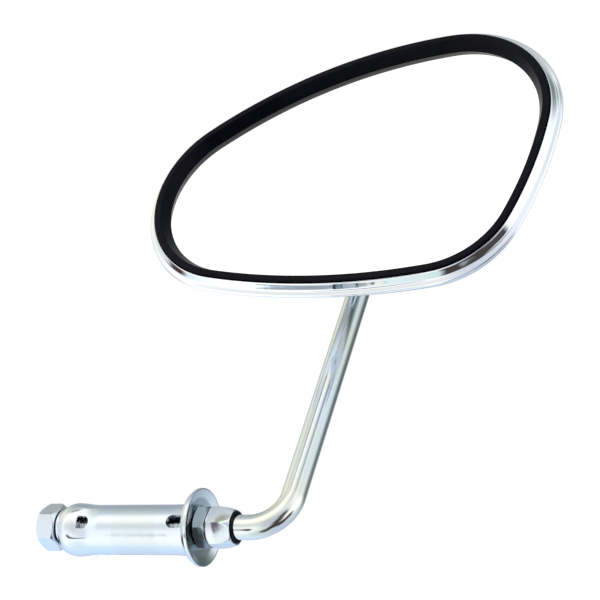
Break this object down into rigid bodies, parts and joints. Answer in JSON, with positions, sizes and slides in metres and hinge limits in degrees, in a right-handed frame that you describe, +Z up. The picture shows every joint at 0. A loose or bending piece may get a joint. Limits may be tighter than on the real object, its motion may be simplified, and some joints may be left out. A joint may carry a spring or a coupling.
{
  "type": "bar-end rear-view mirror",
  "caption": "Teardrop chrome rear-view mirror on a bent rod with a ball joint and an expander clamp that grips inside the end of a tubular handlebar.",
  "frame": {"origin": "middle of the end washer's flat back face, on the handlebar's axis", "axes": "+X outwards along the handlebar's axis, +Z up, -Y towards the rider"},
  "size_m": [0.1639, 0.108, 0.1869],
  "materials": {
    "zinc": "bright zinc plate, blue-white with a faint yellow cast",
    "chrome": "polished chrome plate",
    "plain_steel": "plain steel",
    "black_rubber": "satin black rubber",
    "nylon": "natural nylon",
    "mirror_glass": "silvered glass",
    "foam": "grey foam pad"
  },
  "bodies": {
    "clamp": {"expander_sleeve": "zinc", "bar_end_washer": "zinc"},
    "nuts": {"jam_nut": "zinc", "gland_nut": "zinc", "rod_seal_ring": "black_rubber"},
    "carriage": {"expander_hex_nut": "zinc", "expander_cone": "zinc"},
    "stem": {"stem_rod": "zinc", "pivot_ball": "plain_steel"},
    "liner": {"ball_liner": "nylon"},
    "head": {"socket_base": "chrome", "socket_cover": "chrome", "clamp_screw_inner": "zinc", "clamp_screw_outer": "zinc", "lock_washer_inner": "zinc", "lock_washer_outer": "zinc", "clamp_screw_nut_inner": "zinc", "clamp_screw_nut_outer": "zinc", "reinforcing_plate": "plain_steel", "housing_shell": "chrome", "trim_ring": "black_rubber", "mirror_glass": "mirror_glass", "glass_backing_pad": "foam"}
  },
  "joints": [
    {"name": "nut_turn", "type": "hinge", "parent": "clamp", "child": "nuts", "pos_m": [0, 0, 0], "axis": [1, 0, 0], "range_deg": [-540, 0]},
    {"name": "draw_slide", "type": "slide", "parent": "clamp", "child": "carriage", "axis": [1, 0, 0], "range_m": [0, 0.00187]},
    {"name": "stem_swivel", "type": "hinge", "parent": "carriage", "child": "stem", "pos_m": [0, 0, 0], "axis": [1, 0, 0], "continuous": true},
    {"name": "head_pan", "type": "hinge", "parent": "stem", "child": "liner", "pos_m": [0.0305, 0.08486, 0.11261], "axis": [0, 0.6018, 0.7986], "continuous": true},
    {"name": "head_tilt", "type": "hinge", "parent": "liner", "child": "head", "pos_m": [0.0305, 0.08486, 0.11261], "axis": [1, 0, 0], "range_deg": [-20, 8]}
  ],
  "couplings": [
    {"joint": "nut_turn", "follows": "draw_slide", "rad_per_m": -5026.5}
  ]
}
